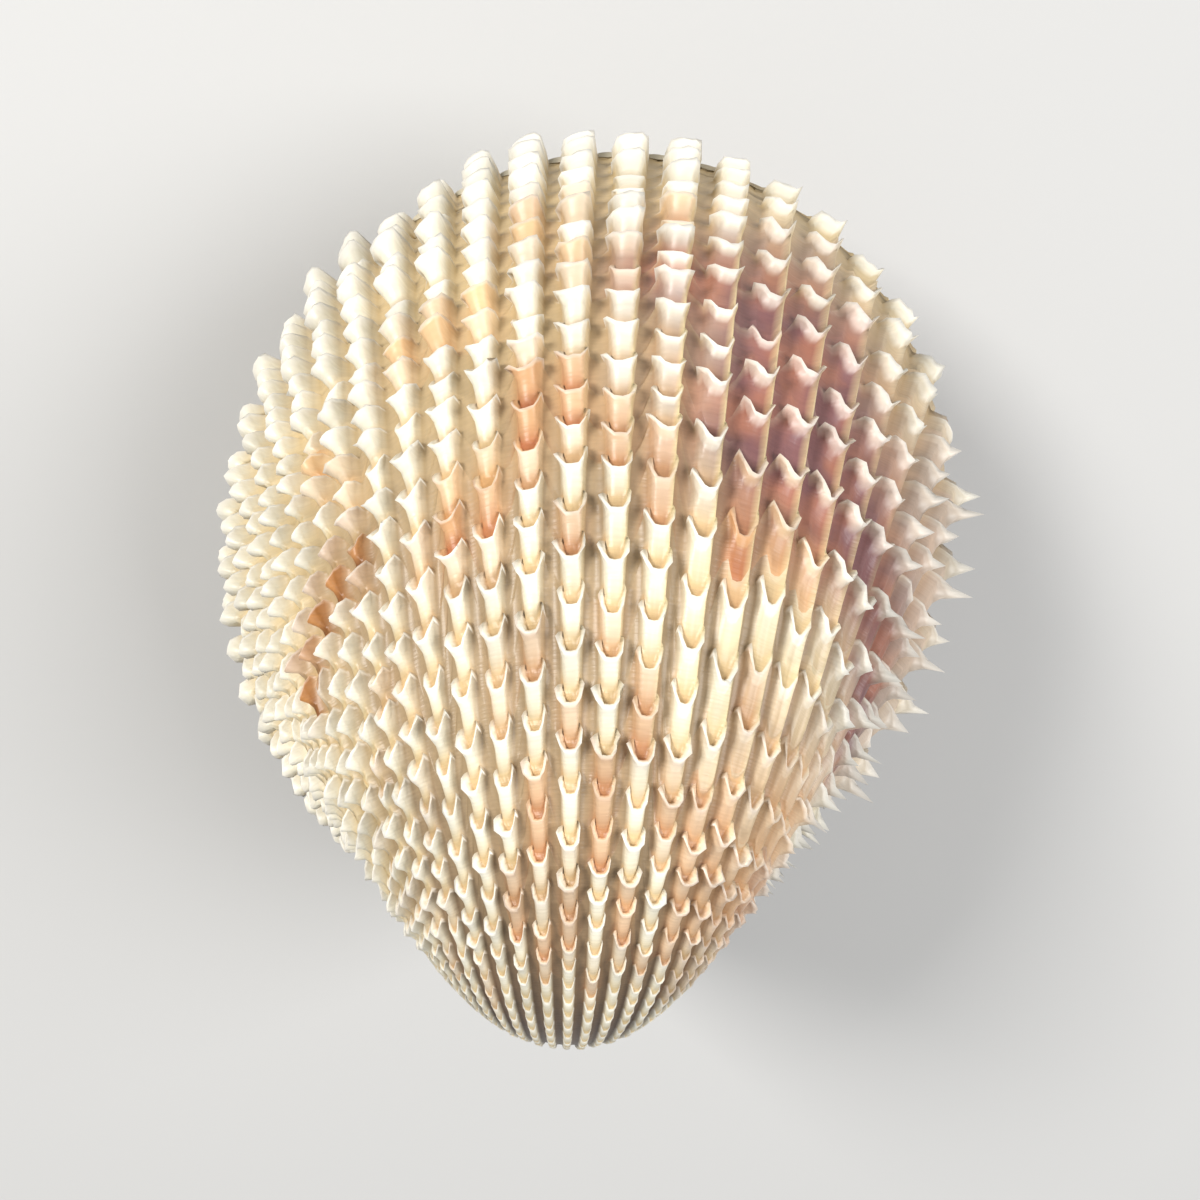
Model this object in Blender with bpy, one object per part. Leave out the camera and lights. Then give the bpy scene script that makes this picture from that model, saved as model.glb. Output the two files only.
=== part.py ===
"""Prickly cockle shell: two closed valves and the ligament that hinges them.

A cockle keeps the outline of its mouth all its life.  Each season's outline is
the last one grown a little larger and turned a little about the hinge, so a
valve is one outline, swept about the hinge while it shrinks towards the beak.

The shell lies on its left valve, with its beaks towards -Y, its belly edge
towards +Y and its tail end towards +X.
"""
import math

import bmesh
import bpy
import numpy as np
from mathutils import Matrix, Vector

MM = 0.001

# Valve: how far the edge of the mouth lies from the hinge, every so many
# degrees round from the front end of the hinge to its tail end.
MOUTH_ANGLES_DEG = (-90, -80, -60, -40, -20, 0, 20, 40, 60, 80, 90)
MOUTH_RADII_MM = (6.5, 10, 21.5, 33.5, 46, 52, 52.5, 44.5, 28, 12.5, 7.5)

# Growth: each radian of turn shrinks the outline by exp(SHRINK), and the
# power brings it to a point at the beak, half a turn from the mouth.
SHRINK = 0.46
BEAK_POWER = 0.43
LAST_TURN = math.radians(173)

# Ribs run from the beak to the mouth and carry rows of raised scales.
RIB_COUNT = 36
RIB_SPREAD = (-0.034, 1.179, 0.104, 0.131)
RIB_RELIEF_MM = 0.6
SCALE_RELIEF_MM = 1.8
SCALE_ROWS = 13
ROW_CROWDING = 1.45

# The scales are worn low over the middle of each valve's back: the angle and
# turn at the middle, the reach, and how sharply the full height comes back.
# The newest row, at the mouth, isn't fully grown.
RIGHT_WEAR = (6, 58, 34, 2)
LEFT_WEAR = (4, 48, 10, 6)
WORN_SHARE = 0.0
NEWEST_SHARE = 0.45

# Shell wall: the cavity is the outside shrunk towards a point in the mouth.
CAVITY_SHRINK = 0.92
CAVITY_CENTRE_MM = (1.0, 29.0, 0.0)
CAVITY_ROWS = 6
VALVE_GAP_MM = 0.3

# Ligament: a short strap behind the beaks, across both valves.
LIGAMENT_CENTRE_MM = (6.6, -1.5, 0.0)
LIGAMENT_HALF_SIZE_MM = (3.0, 0.85, 0.8)

# How the closed shell leans as it comes to rest on the lower valve's scales.
REST_PITCH_DEG = -15.31
REST_ROLL_DEG = -3.18

mouth_curve = np.polynomial.Polynomial.fit(MOUTH_ANGLES_DEG, MOUTH_RADII_MM, 7)


def clear_scene():
    for old in list(bpy.data.objects):
        bpy.data.objects.remove(old)


def shell_material(name, colour, roughness):
    material = bpy.data.materials.new(name)
    material.use_nodes = True
    shader = material.node_tree.nodes["Principled BSDF"]
    shader.inputs["Base Color"].default_value = (*colour, 1.0)
    shader.inputs["Roughness"].default_value = roughness
    return material


def growth_step(turn):
    """The turn about the hinge and the shrinking that go with it."""
    size = math.exp(-SHRINK * turn) * (1 - turn / math.pi) ** BEAK_POWER
    return Matrix.Rotation(turn, 4, "X") @ Matrix.Scale(size, 4)


def rib_angle(rib):
    """Angle of a rib's crest round the hinge, from 0 at the front rib."""
    across = (2 * rib + 1) / RIB_COUNT - 1
    a, b, c, d = RIB_SPREAD
    return a + b * across + c * across ** 2 + d * across ** 3


def column_angles(shift):
    """Alternate grooves and crests, between the two ends of the hinge."""
    halves = [rib_angle(half / 2 + shift) for half in range(-1, 2 * RIB_COUNT)]
    return [-math.pi / 2, *halves, math.pi / 2]


def mouth_point(angle, relief):
    radius = mouth_curve(math.degrees(angle)) + relief
    return Vector((math.sin(angle), math.cos(angle), 0)) * radius


def scale_share(angle, turn, wear):
    """How tall the scales stand: low on the worn back, full round it."""
    worn_angle, worn_turn, reach, sharpness = wear
    across = (math.degrees(angle) - worn_angle) / reach
    along = (math.degrees(turn) - worn_turn) / reach
    away = min(1.0, math.hypot(across, along) ** sharpness)
    return WORN_SHARE + (1 - WORN_SHARE) * away


def outside_point(angles, column, row, wear):
    """A point on the ribbed outside; every second row is a row of scales."""
    turn = LAST_TURN * (row / (2 * SCALE_ROWS)) ** ROW_CROWDING
    angle = angles[column]
    relief = 0.0
    if 0 < column < len(angles) - 1:
        is_crest = column % 2 == 0
        relief = RIB_RELIEF_MM if is_crest else -RIB_RELIEF_MM
        if is_crest and row == 0:
            relief += SCALE_RELIEF_MM * NEWEST_SHARE
        elif is_crest and row % 2 == 0:
            relief += SCALE_RELIEF_MM * scale_share(angle, turn, wear)
        relief *= min(1.0, 1.6 * math.cos(angle))
    return growth_step(turn) @ mouth_point(angle, relief)


def cavity_point(angles, column, row, wear):
    """A point on the smooth inside wall, which no wear reaches."""
    turn = LAST_TURN * (row / CAVITY_ROWS) ** ROW_CROWDING
    outside = growth_step(turn) @ mouth_point(angles[column], 0)
    centre = Vector(CAVITY_CENTRE_MM)
    return centre + (outside - centre) * CAVITY_SHRINK


def grow_sheet(bm, angles, rows, place, wear, beak):
    """Extrudes the mouth's edge row by row and gathers the last row."""
    columns = bm.verts.layers.int["column"]
    verts = []
    for column in range(len(angles)):
        vert = bm.verts.new(place(angles, column, 0, wear))
        vert[columns] = column
        verts.append(vert)
    mouth = [bm.edges.new(pair) for pair in zip(verts, verts[1:])]
    row_edges = mouth
    for row in range(1, rows + 1):
        grown = bmesh.ops.extrude_edge_only(bm, edges=row_edges)["geom"]
        row_verts = [e for e in grown if isinstance(e, bmesh.types.BMVert)]
        fresh = set(row_verts)
        for vert in row_verts:
            vert.co = place(angles, vert[columns], row, wear)
        row_edges = [
            e for e in grown
            if isinstance(e, bmesh.types.BMEdge) and set(e.verts) <= fresh
        ]
    bmesh.ops.pointmerge(bm, verts=row_verts, merge_co=beak)


def make_valve(name, shift, wear, upper, material, collection):
    bm = bmesh.new()
    bm.verts.layers.int.new("column")
    angles = column_angles(shift)
    outer_beak = Vector((0, 0, 0))
    inner_beak = Vector(CAVITY_CENTRE_MM) * (1 - CAVITY_SHRINK)
    rows = 2 * SCALE_ROWS
    grow_sheet(bm, angles, rows, outside_point, wear, outer_beak)
    grow_sheet(bm, angles, CAVITY_ROWS, cavity_point, wear, inner_beak)
    rim = [edge for edge in bm.edges if edge.is_boundary]
    bmesh.ops.triangle_fill(bm, edges=rim, use_beauty=True)
    bmesh.ops.translate(bm, verts=bm.verts, vec=(0, 0, VALVE_GAP_MM / 2))
    if not upper:
        bmesh.ops.scale(bm, verts=bm.verts, vec=(1, 1, -1))
    bmesh.ops.triangulate(bm, faces=bm.faces)
    bmesh.ops.recalc_face_normals(bm, faces=bm.faces)
    return finish_piece(bm, name, material, collection)


def make_ligament(material, collection):
    bm = bmesh.new()
    bmesh.ops.create_uvsphere(bm, u_segments=14, v_segments=8, radius=1)
    bmesh.ops.scale(bm, verts=bm.verts, vec=LIGAMENT_HALF_SIZE_MM)
    bmesh.ops.translate(bm, verts=bm.verts, vec=LIGAMENT_CENTRE_MM)
    return finish_piece(bm, "ligament", material, collection)


def finish_piece(bm, name, material, collection):
    """Turns the piece to its resting lean, in metres, and names it."""
    lean = Matrix.Rotation(math.radians(REST_PITCH_DEG), 4, "X")
    lean = Matrix.Rotation(math.radians(REST_ROLL_DEG), 4, "Y") @ lean
    bmesh.ops.transform(bm, matrix=lean @ Matrix.Scale(MM, 4), verts=bm.verts)
    mesh = bpy.data.meshes.new(name)
    bm.to_mesh(mesh)
    bm.free()
    mesh.materials.append(material)
    piece = bpy.data.objects.new(name, mesh)
    collection.objects.link(piece)
    return piece


def stand_on_floor(pieces):
    """Moves the shell so that the middle of its underside is the origin."""
    corners = [v.co for piece in pieces for v in piece.data.vertices]
    low = Vector([min(c[axis] for c in corners) for axis in range(3)])
    high = Vector([max(c[axis] for c in corners) for axis in range(3)])
    middle = (low + high) / 2
    move = Matrix.Translation((-middle.x, -middle.y, -low.z))
    for piece in pieces:
        piece.data.transform(move)
    print("size mm:", [round(side / MM, 2) for side in high - low])


def main():
    clear_scene()
    collection = bpy.data.collections.new("prickly_cockle_shell")
    bpy.context.scene.collection.children.link(collection)
    shell = shell_material("shell", (0.86, 0.75, 0.58), 0.45)
    horn = shell_material("ligament", (0.16, 0.08, 0.035), 0.55)
    pieces = [
        make_valve("right_valve", 0.0, RIGHT_WEAR, True, shell, collection),
        make_valve("left_valve", 0.5, LEFT_WEAR, False, shell, collection),
        make_ligament(horn, collection),
    ]
    stand_on_floor(pieces)


main()
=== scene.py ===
# %% [markdown]
# # A prickly cockle shell
#
# A cockle is two valves, hinged by a dark horny ligament.  Each valve is one
# sheet of aragonite, folded into ribs, and every rib carries a row of scales:
# little spouts that the animal folds up at the edge of its mantle and leaves
# behind as it grows.  Nothing on it is stuck on.  The ribs, the scales and
# their hollows are all folds of the same sheet.

# %% The frame
import math

import bmesh
import bpy
import numpy as np
from mathutils import Matrix, Vector


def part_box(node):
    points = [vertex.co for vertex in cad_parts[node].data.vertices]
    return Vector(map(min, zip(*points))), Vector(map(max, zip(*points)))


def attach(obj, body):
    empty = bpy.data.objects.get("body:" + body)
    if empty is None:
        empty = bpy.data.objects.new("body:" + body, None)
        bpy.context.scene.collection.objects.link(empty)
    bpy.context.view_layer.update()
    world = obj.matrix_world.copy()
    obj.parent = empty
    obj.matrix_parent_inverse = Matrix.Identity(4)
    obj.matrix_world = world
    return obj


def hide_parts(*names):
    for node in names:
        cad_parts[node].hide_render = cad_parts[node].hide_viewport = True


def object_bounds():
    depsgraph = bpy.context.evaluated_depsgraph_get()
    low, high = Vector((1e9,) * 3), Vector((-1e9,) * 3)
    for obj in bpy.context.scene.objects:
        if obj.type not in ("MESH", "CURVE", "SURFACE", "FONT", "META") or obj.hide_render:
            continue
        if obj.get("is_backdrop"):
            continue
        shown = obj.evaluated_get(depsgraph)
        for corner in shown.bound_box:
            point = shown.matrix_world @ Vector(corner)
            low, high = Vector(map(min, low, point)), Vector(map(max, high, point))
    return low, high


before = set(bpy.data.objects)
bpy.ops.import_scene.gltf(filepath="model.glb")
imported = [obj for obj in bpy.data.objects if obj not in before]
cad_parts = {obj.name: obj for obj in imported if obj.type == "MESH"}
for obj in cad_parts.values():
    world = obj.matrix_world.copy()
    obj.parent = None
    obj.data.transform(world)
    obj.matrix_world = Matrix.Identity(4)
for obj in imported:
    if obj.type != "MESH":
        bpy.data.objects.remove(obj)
cad_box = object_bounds()
MM = 0.001
print("CAD nodes:", sorted(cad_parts))

# %% [markdown]
# ## How a shell grows
#
# The edge of the mouth keeps its outline all through the animal's life.  Each
# older edge is the newest one made smaller and turned a little about the
# hinge.  A valve is therefore one outline, swept about the hinge axis while it
# shrinks to a point at the beak.  A place on the shell needs two numbers: the
# rib that it is on, and its turn back from the mouth, in degrees.
#
# In the shell's own frame the hinge lies along X, the belly edge is towards
# +Y, and +Z rises out of the right valve.

# %% The growing outline
MOUTH_ANGLES_DEG = (-90, -80, -60, -40, -20, 0, 20, 40, 60, 80, 90)
MOUTH_RADII_MM = (6.5, 10, 21.5, 33.5, 46, 52, 52.5, 44.5, 28, 12.5, 7.5)
SHRINK = 0.46
BEAK_POWER = 0.43
LAST_TURN_DEG = 173
RIB_COUNT = 36
RIB_SPREAD = (-0.034, 1.179, 0.104, 0.131)

mouth_curve = np.polynomial.Polynomial.fit(MOUTH_ANGLES_DEG, MOUTH_RADII_MM, 7)
print("hinge to belly edge, mm:", round(float(mouth_curve(0)), 1))


def rib_angle(rib):
    """Angle round the hinge of a place counted in ribs from the front."""
    across = (2 * rib + 1) / RIB_COUNT - 1
    a, b, c, d = RIB_SPREAD
    return a + b * across + c * across ** 2 + d * across ** 3


def shell_point(angle, turn):
    """Smooth shell, in mm, at an angle round the hinge and a growth turn."""
    size = np.exp(-SHRINK * turn)
    size = size * np.clip(1 - turn / math.pi, 0, 1) ** BEAK_POWER
    radius = mouth_curve(np.degrees(angle)) * size
    back = radius * np.cos(angle)
    parts = (radius * np.sin(angle), back * np.cos(turn), back * np.sin(turn))
    return np.stack(np.broadcast_arrays(*parts), axis=-1)


def unit(vectors):
    lengths = np.linalg.norm(vectors, axis=-1, keepdims=True)
    return vectors / np.maximum(lengths, 1e-12)


def surface_axes(angle, turn):
    """Unit vectors across the ribs, towards the mouth, and outwards."""
    step = 1e-4
    across = shell_point(angle + step, turn) - shell_point(angle - step, turn)
    growth = shell_point(angle, turn - step) - shell_point(angle, turn + step)
    return unit(across), unit(growth), unit(np.cross(across, growth))


# %% [markdown]
# ## How it lies
#
# A closed cockle put down on a table rolls until three scales of the lower
# valve hold it.  The frame has it in that pose.  The lean is known, and the
# ligament's middle gives the rest of the move from the shell's frame.

# %% From the shell's frame to the table
REST_PITCH_DEG = -15.31
REST_ROLL_DEG = -3.18
LIGAMENT_CENTRE_MM = Vector((6.6, -1.5, 0.0))

lean = Matrix.Rotation(math.radians(REST_PITCH_DEG), 3, "X")
lean = Matrix.Rotation(math.radians(REST_ROLL_DEG), 3, "Y") @ lean
low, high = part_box("ligament")
shell_origin = (low + high) / 2 - lean @ LIGAMENT_CENTRE_MM * MM
to_table = Matrix.Translation(shell_origin) @ lean.to_4x4()
to_table = to_table @ Matrix.Scale(MM, 4)
print("shell origin on the table, mm:", [round(v / MM, 2) for v in shell_origin])

# %% [markdown]
# ## Rows of scales
#
# The rows of scales are close together near the mouth, where the old animal
# grew slowly, and wider apart over the back.  A place along a rib can then be
# counted in rows from the mouth, and the count gives the turn.

# %% Turn of each row
ROW_TURNS_DEG = (0, 25, 47, 75, 90, 120, 173)
ROW_SPACING_DEG = (2.3, 2.6, 4.3, 4.5, 3.7, 4.6, 9.0)

row_turns = [0.0]
while row_turns[-1] < LAST_TURN_DEG:
    gap = np.interp(row_turns[-1], ROW_TURNS_DEG, ROW_SPACING_DEG)
    row_turns.append(row_turns[-1] + gap)
row_turns[-1] = LAST_TURN_DEG
ROWS = len(row_turns) - 1


def turn_of(count):
    """Growth turn, in radians, of a place counted in rows from the mouth."""
    return np.radians(np.interp(count, range(ROWS + 1), row_turns))


print("rows of scales:", ROWS, "first turns:", np.round(row_turns[:6], 1))

# %% [markdown]
# ## One scale, step by step
#
# A scale is a scoop.  Its back rises from the rib to a thin lip, the lip
# overhangs a hollow on the side of the mouth, and its two arms run forwards
# down the flanks of the rib.  Seven steps along the rib draw it: bare rib,
# floor of the hollow, inner lip, lip, and three steps down its back.  The
# inner lip lies before the floor of the hollow, which makes the overhang.
# Each step has one place for the middle of the scale and one for its arms.
# Where nothing stands, and at the bare ends of the hinge, the steps keep their
# order, so that the sheet doesn't fold over itself.  By the beak the scales are
# too small to need all seven, and four do.

# %% Steps of a scale
STEP_FLAT = np.array((0.00, 0.30, 0.32, 0.35, 0.43, 0.62, 0.83))
STEP_MIDDLE = np.array((0.00, 0.34, 0.30, 0.34, 0.43, 0.62, 0.83))
STEP_ARM = np.array((-0.56, -0.50, -0.42, -0.31, -0.27, 0.02, 0.38))
STEP_EVEN = np.array((0.00, 0.08, 0.34, 0.42, 0.43, 0.70, 0.83))
ARM_RISE = np.array((0.00, 0.10, 0.55, 1.00, 0.35, 0.08, 0.00))
FULL_ROWS = 28
FULL_STEPS = (0, 1, 2, 3, 4, 5, 6)
SMALL_STEPS = (0, 1, 3, 5)
INNER_LIP, LIP, TROUGH_STEP = 2, 3, 6
# how much amber painted shade lies in the hollow under the lip, step by step
HOLLOW_SHADE = np.array((0.45, 1, 0, 0, 0, 0, 0.15))

net_rows = []
for row in range(ROWS):
    row_steps = FULL_STEPS if row < FULL_ROWS else SMALL_STEPS
    net_rows += [(row, step) for step in row_steps]
net_rows.append((ROWS, 0))
net_row, net_step = np.array(net_rows).T[:, :, None]
print("net rows from mouth to beak:", len(net_rows))

# %% [markdown]
# ## Across one rib
#
# A rib has a flat crest, steep flanks and a narrow groove on each side.  Ten
# columns draw it, from one groove to just before the next.  Each table below
# has a number for each column: its place between two grooves, the height of the
# rib there, how much of a scale's height goes up and how much goes sideways, how
# far the rib is drawn in between two scales, how far it sinks in the purple
# zone, how much of the cord runs there, and how well it holds pigment.

# %% Columns across a rib
COLUMN = np.array((-.5, -.32, -.27, -.21, -.12, 0, .12, .20, .25, .30))
RIB_PROFILE = np.array((-.5, -.44, .05, .40, .5, .54, .5, .40, .05, -.44))
UP_SHARE = np.array((.8, .35, .6, .95, 1, 1, 1, .95, .6, .35))
SIDE_SHARE = np.array((0, -.9, -.7, -.2, 0, 0, 0, .08, .2, .2))
WAIST_SHARE = np.array((0, 0, -1, -.9, -.5, 0, .5, .9, 1, 0))
SINK = np.array((0, 0, .3, .55, .6, .6, .45, 0, 0, 0))
CORD_SHARE = np.array((0, 0, 0, 0, 0, 0, 0, .45, 1, 0))
PIGMENT_HOLD = np.array((.25, .5, .95, 1, 1, 1, 1, 1, .9, .35))
GROOVE_DEPTH = 0.5
HINGE_COLUMNS = 3
HALF_A_RIB = 0.5
ROUNDING = 1e-4

rib_places = [rib + c for rib in range(RIB_COUNT) for c in COLUMN]
rib_places.append(RIB_COUNT - HALF_A_RIB)
net_place = np.pad(rib_places, HINGE_COLUMNS, "edge")[None, :]
net_rib = np.floor(net_place + HALF_A_RIB + ROUNDING)
net_rib = np.minimum(net_rib, RIB_COUNT - 1).astype(int)
net_column = np.tile(np.arange(len(COLUMN)), RIB_COUNT)
net_column = np.pad(np.append(net_column, 0), HINGE_COLUMNS)[None, :]
is_groove = net_column == 0
print("net columns from hinge to hinge:", net_place.shape[1])

# %% [markdown]
# ## Kinds of scale
#
# The animal folds its mantle differently along its edge, so the scales differ
# from front to tail.  Near the mouth stand tall plates.  The back, worn by
# the sea, has low cups.  Round knobs and wavy frills are at the front, and
# thorns at the tail.  The first scales of its life, by the beak, are small
# nodes.  A kind says how high the steps rise, how the height spreads across
# the rib, how far the arms reach forwards, and how the lip spreads sideways.

# %% Kinds of scale
KINDS = {
    "plate": {
        "height": 1.3, "lean": 0.1, "waist": 0.035,
        "rise": (-.05, -.15, .78, 1, .92, .50, .05),
        "collar": (0, .25, .62, .92, .98, 1, 1.03, 1.02, .40, 0),
        "arms": (.9, 1, .8, .12, .02, 0, .02, .12, .5, .6),
        "spread": (0, -.03, -.06, -.06, -.03, 0, .03, .05, .04, .02),
    },
    "cup": {
        "height": 0.68, "lean": 0, "waist": 0.01,
        "rise": (-.30, -.85, .45, 1, .68, .08, -.10),
        "collar": (0, 0, .90, .98, .72, .60, .72, .98, .96, 0),
        "arms": (.3, .45, .62, .24, .02, 0, .02, .26, .74, .55),
        "spread": (0, -.04, -.09, -.08, -.03, 0, .03, .07, .06, .02),
    },
    "knob": {
        "height": 0.85, "lean": 0, "waist": 0.13,
        "rise": (-.70, -.80, .45, .85, 1, -.05, -.65),
        "collar": (0, 0, .15, .68, 1.02, 1.14, 1, .52, .05, 0),
        "arms": (.4, .5, .6, .35, .1, 0, .1, .4, .6, .4),
        "spread": (0, -.02, -.04, -.03, 0, 0, 0, .02, .02, 0),
    },
    "frill": {
        "height": 0.62, "lean": 0, "waist": 0.10,
        "rise": (-.60, -.65, .60, .95, 1, .10, -.50),
        "collar": (.10, .22, .50, .88, 1.05, 1.2, .95, .70, .40, .15),
        "arms": (.9, .8, .6, .3, .07, 0, .1, .4, .7, .85),
        "spread": (0, -.03, -.05, -.04, 0, 0, 0, .03, .02, 0),
    },
    "spout": {
        "height": 0.95, "lean": 0.05, "waist": 0.02,
        "rise": (-.55, -.70, .50, 1, .60, -.45, -.60),
        "collar": (0, 0, .55, .95, .92, .72, .72, .85, 0, 0),
        "arms": (.3, .5, .55, .30, 0, 0, .10, .55, .5, .3),
        "spread": (0, -.04, -.06, -.04, 0, 0, 0, -.02, 0, 0),
    },
    "thorn": {
        "height": 1.8, "lean": 0.3, "waist": 0.05,
        "rise": (-.14, -.16, .50, 1, .28, -.08, -.14),
        "collar": (0, 0, .02, .10, .42, 1.1, .42, .10, .02, 0),
        "arms": (.3, .3, .4, .4, .2, 0, .2, .4, .4, .3),
        "spread": (0, 0, .03, .06, .05, 0, -.05, -.06, -.03, 0),
    },
    "node": {
        "height": 0.2, "lean": 0, "waist": 0.02,
        "rise": (-.3, -.8, .6, 1, .5, .1, -.2),
        "collar": (0, 0, .6, .9, .8, .7, .8, 1, .8, 0),
        "arms": (.3, .4, .7, .4, .05, 0, .05, .4, .8, .4),
        "spread": (0,) * 10,
    },
}

print("kinds of scale:", ", ".join(KINDS))

# %% [markdown]
# ## Where each kind grows
#
# Each region is a soft hill over the shell: its rib, its turn in degrees, how
# far it reaches in ribs and in degrees, and how strong it is.

# %% Regions of a valve
KIND_HILLS = {
    "cup": ((19.5, 56, 4.0, 18, 2.2), (26.5, 80, 2.5, 18, 1.6)),
    "knob": ((10.4, 54, 2.8, 16, 1.8), (7.5, 18, 2.8, 15, 1.5)),
    "frill": ((2.5, 40, 3.6, 40, 1.8),),
    "spout": ((24.8, 28, 1.7, 24, 2.0),),
    "thorn": ((32, 28, 3.6, 45, 2.0),),
}
NODES_FROM_DEG, NODES_FULL_DEG = 76, 92
MAUVE_HILLS = (
    (23.6, 17, 2.0, 7, 0.9), (24.6, 31, 2.4, 6, 1.2), (29.5, 22, 2.4, 22, 0.4),
    (30, 36, 1.6, 9, 0.7), (20.6, 18, 1.0, 3, 0.6),
)
BARE_HILLS = ((24.7, 49, 1.8, 8, 1.0),)
CORD_HILLS = ((23.4, 34, 2.4, 19, 2.0),)
CORD_HEIGHT_MM = 0.36


def hills(rib, turn_deg, table):
    """Height of a table's hills at a place on the shell, from nought to one."""
    total = np.zeros(np.broadcast_shapes(np.shape(rib), np.shape(turn_deg)))
    for at_rib, at_turn, ribs, turns, strength in table:
        away = ((rib - at_rib) / ribs) ** 2 + ((turn_deg - at_turn) / turns) ** 2
        total = total + strength * np.exp(-away / 2)
    return np.clip(total, 0, 1)


def kind_weights(rib, turn_deg):
    """How much of each kind a scale is; the weights add up to one."""
    node = np.interp(turn_deg, (NODES_FROM_DEG, NODES_FULL_DEG), (0, 1))
    weights = {
        kind: hills(rib, turn_deg, table) * (1 - node)
        for kind, table in KIND_HILLS.items()
    }
    weights["node"] = node
    weights["plate"] = np.clip(1 - sum(weights.values()), 0, 1)
    total = sum(weights.values())
    return {kind: weight / total for kind, weight in weights.items()}


for spot, rib, turn_deg in (("belly edge", 17, 10), ("back", 19, 56), ("tail", 32, 30)):
    shares = kind_weights(rib, turn_deg)
    print(spot, "has mostly", max(shares, key=shares.get))

# %% [markdown]
# ## Bands of colour
#
# The edge of the mantle colours the shell as it lays it down, so a colour is
# a band along one rib, from one turn to another.  Each scale grew in one go
# and has one strength of each pigment all over.  A row below holds the first
# and last rib, and the first and last turn in degrees, and the strength.  The
# colour fades out within half a rib of its band.

# %% Bands of colour
COLOUR_BANDS = {
    "peach": (
        (15, 17, 20, 24.5, 1), (18, 18, 13.5, 18, 1), (12, 12, 21, 27, 1),
        (13, 13, 28, 31, .88), (16, 17, 35, 38, 1), (19, 19, 12, 15, .88),
        (19, 19, 18, 22, .88), (21, 21, 12, 15, .88), (24, 25, 35, 42, .88),
        (20, 20, 33, 36.5, .75), (13, 14, 50, 53, .4), (26, 28, 60, 80, .5),
    ),
    "rust": (
        (18, 18, 12, 13.4, .94), (18, 18, 28, 37, .94), (19, 19, 28, 35, .81),
        (20, 20, 18.5, 22.5, .54), (20, 20, 33, 36.5, .68), (15, 15, 42, 44, .94),
        (16, 17, 38, 43, .94), (18, 18, 50, 53, .72), (18, 18, 62, 73, .72),
        (18, 18, 80, 88, .64), (17, 17, 52, 58, .32), (17, 17, 73, 82, .64),
        (19, 19, 42, 44.5, .94), (19, 19, 56, 60, .56), (19, 19, 73, 85, .56),
        (20, 20, 49, 51, .72), (20, 20, 61, 73, .72), (20, 20, 88, 94, .48),
        (21, 21, 35, 41, .68), (21, 21, 54, 62, .72), (21, 21, 75, 85, .64),
        (22, 22, 63, 71, .64), (22, 22, 85, 90, .48), (23, 23, 37, 45, 1),
        (23, 23, 62, 88, .56), (24, 24, 51, 60, .48), (24, 24, 62, 76, .56),
        (25, 25, 53, 57, .48), (25, 25, 72, 80, .48), (26, 26, 54, 61, .32),
        (24, 29, 52, 84, .35), (10, 14, 75, 79, .24), (13, 13, 84, 92, .32),
        (15, 15, 88, 100, .32),
    ),
    "purple": (
        (22, 22, 19, 23.5, .6), (21, 21, 19.5, 23, .5), (20, 20, 21, 24, .4),
        (22, 22, 30, 34, .7), (23, 23, 12, 15, .7), (23, 23, 19, 26, .9),
        (23, 23, 28, 35, .9), (24, 24, 5, 14, .4), (24, 24, 19, 34, 1),
        (25, 25, 13, 34, 1), (26, 27, 18, 34, .6), (28, 33, 4, 30, .35),
        (20, 20, 28, 31, .3), (27, 30, 70, 90, .4),
    ),
    "brown": (
        (11, 11, 35, 41, 1), (12, 13, 34, 40, 1), (9, 9, 37, 45, 1), (10, 10, 36, 44, .8),
        (12, 12, 57, 59, .6), (14, 14, 63, 65.5, .6), (13, 13, 50, 52, .4),
        (24, 28, 74, 100, .4), (11, 11, 64, 66, .8),
    ),
}
BAND_FULL = 1.2
BAND_FADE = 1.4


def band_strength(bands, rib, newer_deg, older_deg):
    """How much of a band's colour lies on each scale, from lip to lip."""
    total = np.zeros(older_deg.shape)
    for first, last, from_deg, to_deg, strength in bands:
        inside = np.minimum(older_deg, to_deg) - np.maximum(newer_deg, from_deg)
        share = np.clip(inside / (older_deg - newer_deg), 0, 1)
        off_band = np.maximum(np.maximum(first - rib, rib - last), 0)
        beside = np.clip(BAND_FULL - BAND_FADE * off_band, 0, 1)
        total = np.maximum(total, strength * share * beside)
    return total


print("bands:", {tint: len(bands) for tint, bands in COLOUR_BANDS.items()})

# %% [markdown]
# ## Rows that each scale takes
#
# The rows of the net run right across the valve, but a rib has fewer scales
# where they are long.  There, one scale takes up two or three rows, and the
# rows after it are squeezed together behind it with nothing on them.

# %% Rows that each scale takes
CENTRE_RIB = 17
CENTRE_SHARE = 0.72
LONGER_KINDS = {"spout": 1.7, "thorn": 0.5, "knob": 0.2}
MOST_ROWS_TO_A_SCALE = 3
SKIPPED_EXTENT = 0.2
EXTENT_RANGE = (0.78, 1.22)
JUST_UNDER = 1e-6


def of_kinds(table, kinds):
    """A number that some kinds have, weighed for each scale."""
    return sum(number * kinds[kind] for kind, number in table.items())


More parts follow.
